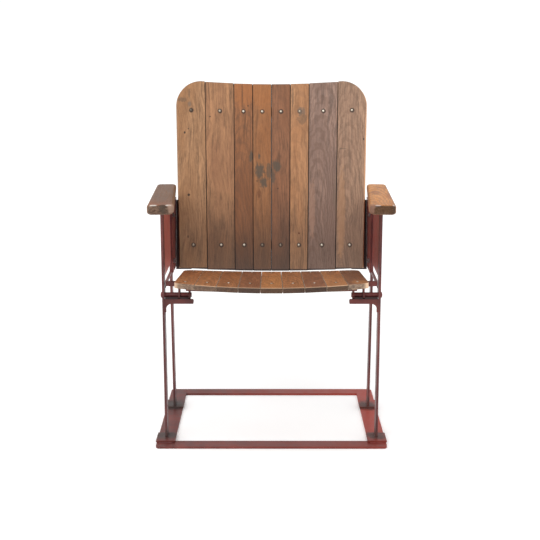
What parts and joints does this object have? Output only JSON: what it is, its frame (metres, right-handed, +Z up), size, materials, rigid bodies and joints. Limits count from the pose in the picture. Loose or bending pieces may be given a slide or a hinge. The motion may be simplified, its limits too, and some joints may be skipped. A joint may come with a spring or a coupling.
{
  "type": "tip-up armchair",
  "caption": "Slatted wooden tip-up armchair on a flat-iron floor frame, with a curved leaning back, a dished seat that folds up on side pins, and flat wooden arms.",
  "frame": {"origin": "on the floor, under the middle of the chair's overall width and depth", "axes": "+Z up, +Y towards the back, +X to the right in a front view"},
  "size_m": [0.623, 0.5729, 0.9147],
  "materials": {
    "back_wood": "worn oiled",
    "seat_wood": "worn oiled",
    "arm_wood": "worn bare",
    "red_iron": "worn paint",
    "dark_iron": "worn paint",
    "fastener": "worn paint",
    "rivet": "dull"
  },
  "bodies": {
    "frame": {"arm_screws": "fastener", "arm_support_left": "red_iron", "arm_support_right": "red_iron", "armrest_left": "arm_wood", "armrest_right": "arm_wood", "back_bracket_left": "dark_iron", "back_bracket_right": "dark_iron", "back_rivets": "rivet", "back_slat_1": "back_wood", "back_slat_2": "back_wood", "back_slat_3": "back_wood", "back_slat_4": "back_wood", "back_slat_5": "back_wood", "back_slat_6": "back_wood", "back_slat_7": "back_wood", "back_slat_8": "back_wood", "back_stile_left": "dark_iron", "back_stile_right": "dark_iron", "back_strap_lower": "dark_iron", "back_strap_upper": "dark_iron", "back_tab_left": "dark_iron", "back_tab_right": "dark_iron", "base_crossbar_front": "red_iron", "base_crossbar_rear": "red_iron", "base_runner_left": "red_iron", "base_runner_right": "red_iron", "bracket_bolts": "fastener", "foot_plate_front_left": "red_iron", "foot_plate_front_right": "red_iron", "foot_plate_rear_left": "red_iron", "foot_plate_rear_right": "red_iron", "front_leg_left": "red_iron", "front_leg_right": "red_iron", "pivot_pin_left": "fastener", "pivot_pin_right": "fastener", "rear_leg_left": "red_iron", "rear_leg_right": "red_iron", "seat_stop_left": "red_iron", "seat_stop_right": "red_iron", "side_panel_left": "red_iron", "side_panel_right": "red_iron", "side_rail_left": "red_iron", "side_rail_right": "red_iron"},
    "seat": {"hinge_ear_inner_left": "red_iron", "hinge_ear_inner_right": "red_iron", "hinge_ear_outer_left": "red_iron", "hinge_ear_outer_right": "red_iron", "hinge_rail": "red_iron", "seat_rivets": "rivet", "seat_slat_1": "seat_wood", "seat_slat_2": "seat_wood", "seat_slat_3": "seat_wood", "seat_slat_4": "seat_wood", "seat_slat_5": "seat_wood", "seat_slat_6": "seat_wood", "seat_slat_7": "seat_wood", "seat_slat_8": "seat_wood", "seat_slat_9": "seat_wood", "seat_strap_front": "red_iron", "seat_strap_rear": "red_iron"}
  },
  "joints": [
    {"name": "seat_tip", "type": "hinge", "parent": "frame", "child": "seat", "pos_m": [0, -0.0971, 0.391], "axis": [-1, 0, 0], "range_deg": [0, 78]}
  ]
}
